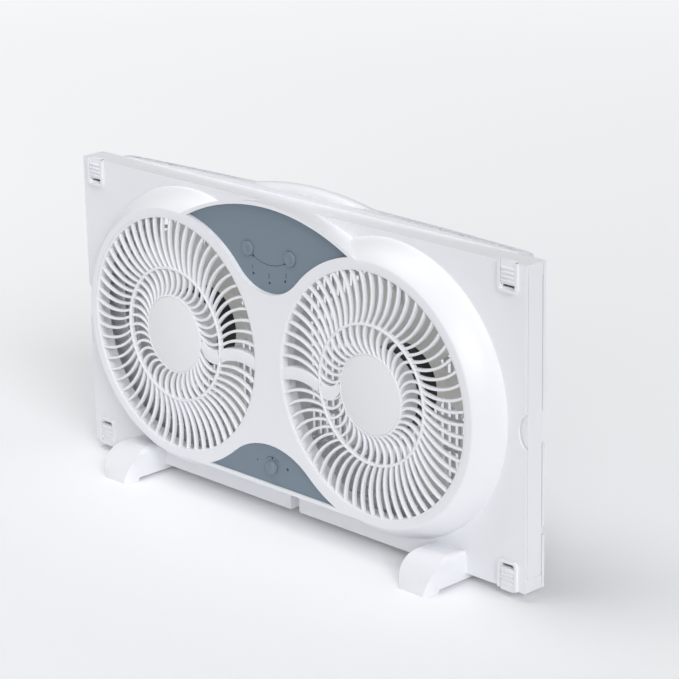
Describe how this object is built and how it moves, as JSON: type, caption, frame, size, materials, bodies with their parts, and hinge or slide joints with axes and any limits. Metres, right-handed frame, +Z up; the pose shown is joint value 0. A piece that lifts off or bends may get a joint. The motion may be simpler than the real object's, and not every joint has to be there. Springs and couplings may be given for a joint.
{
  "type": "window fan",
  "caption": "White twin window fan with two ribbed round grilles, slate control panels, corner latches, slide-out side panels and two feet",
  "frame": {"origin": "on the floor under the middle of the fan, half way between the two feet and half way through the frame's depth", "axes": "+X to the fan's right side as seen from the front, +Y to the back, +Z up"},
  "size_m": [0.584, 0.1299, 0.3173],
  "materials": {
    "housing_white": "satin moulded ABS",
    "cap_white": "satin moulded ABS",
    "panel_slate": "fine matte",
    "wheel_grey": "moulded polypropylene",
    "motor_black": "black paint",
    "winding_copper": "enamelled copper wire",
    "bearing_bronze": "sintered bronze",
    "steel_parts": "zinc plated steel",
    "light_clear": "clear light guide",
    "board_green": "solder mask",
    "soft_vinyl": "soft vinyl"
  },
  "bodies": {
    "frame": {"front_housing": "housing_white", "left_grille": "housing_white", "right_grille": "housing_white", "left_hub_cap": "cap_white", "right_hub_cap": "cap_white", "upper_control_panel": "panel_slate", "lower_control_panel": "panel_slate", "speed_lights": "light_clear", "control_board": "board_green", "button_switches": "motor_black", "airflow_switch": "motor_black", "board_screws": "steel_parts", "left_motor_front_bell": "motor_black", "right_motor_front_bell": "motor_black", "left_stator": "motor_black", "right_stator": "motor_black", "left_windings": "winding_copper", "right_windings": "winding_copper", "left_motor_rear_bell": "motor_black", "right_motor_rear_bell": "motor_black", "left_bearings": "bearing_bronze", "right_bearings": "bearing_bronze", "left_motor_mount": "housing_white", "right_motor_mount": "housing_white", "motor_screws": "steel_parts", "motor_mount_screws": "steel_parts", "left_motor_lead": "soft_vinyl", "right_motor_lead": "soft_vinyl", "rear_housing": "housing_white", "rear_grille": "housing_white", "housing_screws": "steel_parts", "rear_grille_screws": "steel_parts", "left_foot": "housing_white", "right_foot": "housing_white", "foot_screws": "steel_parts", "cord_inlet": "soft_vinyl"},
    "left_wheel": {"left_rotor": "steel_parts", "left_shaft": "steel_parts", "left_fan_wheel": "wheel_grey", "left_wheel_nut": "motor_black"},
    "right_wheel": {"right_rotor": "steel_parts", "right_shaft": "steel_parts", "right_fan_wheel": "wheel_grey", "right_wheel_nut": "motor_black"},
    "left_button": {"left_button": "panel_slate"},
    "right_button": {"right_button": "panel_slate"},
    "knob": {"airflow_knob": "panel_slate"},
    "left_panel": {"left_side_panel": "housing_white", "left_panel_bar": "housing_white"},
    "right_panel": {"right_side_panel": "housing_white", "right_panel_bar": "housing_white"},
    "upper_left_catch": {"upper_left_latch": "housing_white"},
    "upper_right_catch": {"upper_right_latch": "housing_white"},
    "lower_left_catch": {"lower_left_latch": "housing_white"},
    "lower_right_catch": {"lower_right_latch": "housing_white"}
  },
  "joints": [
    {"name": "left_wheel_spin", "type": "hinge", "parent": "frame", "child": "left_wheel", "pos_m": [-0.1325, 0, 0.16075], "axis": [0, 1, 0], "continuous": true},
    {"name": "right_wheel_spin", "type": "hinge", "parent": "frame", "child": "right_wheel", "pos_m": [0.1325, 0, 0.16075], "axis": [0, 1, 0], "continuous": true},
    {"name": "left_button_press", "type": "slide", "parent": "frame", "child": "left_button", "axis": [0, 1, 0], "range_m": [0, 0.0015], "stiffness_N_per_m": 300},
    {"name": "right_button_press", "type": "slide", "parent": "frame", "child": "right_button", "axis": [0, 1, 0], "range_m": [0, 0.0015], "stiffness_N_per_m": 300},
    {"name": "airflow_knob_turn", "type": "hinge", "parent": "frame", "child": "knob", "pos_m": [0, -0.036, 0.05875], "axis": [0, 1, 0], "range_deg": [-50, 50]},
    {"name": "left_panel_slide", "type": "slide", "parent": "frame", "child": "left_panel", "axis": [-1, 0, 0], "range_m": [0, 0.036]},
    {"name": "right_panel_slide", "type": "slide", "parent": "frame", "child": "right_panel", "axis": [1, 0, 0], "range_m": [0, 0.036]},
    {"name": "upper_left_latch_slide", "type": "slide", "parent": "frame", "child": "upper_left_catch", "axis": [0, 0, -1], "range_m": [0, 0.003]},
    {"name": "upper_right_latch_slide", "type": "slide", "parent": "frame", "child": "upper_right_catch", "axis": [0, 0, -1], "range_m": [0, 0.003]},
    {"name": "lower_left_latch_slide", "type": "slide", "parent": "frame", "child": "lower_left_catch", "axis": [0, 0, 1], "range_m": [0, 0.003]},
    {"name": "lower_right_latch_slide", "type": "slide", "parent": "frame", "child": "lower_right_catch", "axis": [0, 0, 1], "range_m": [0, 0.003]}
  ]
}
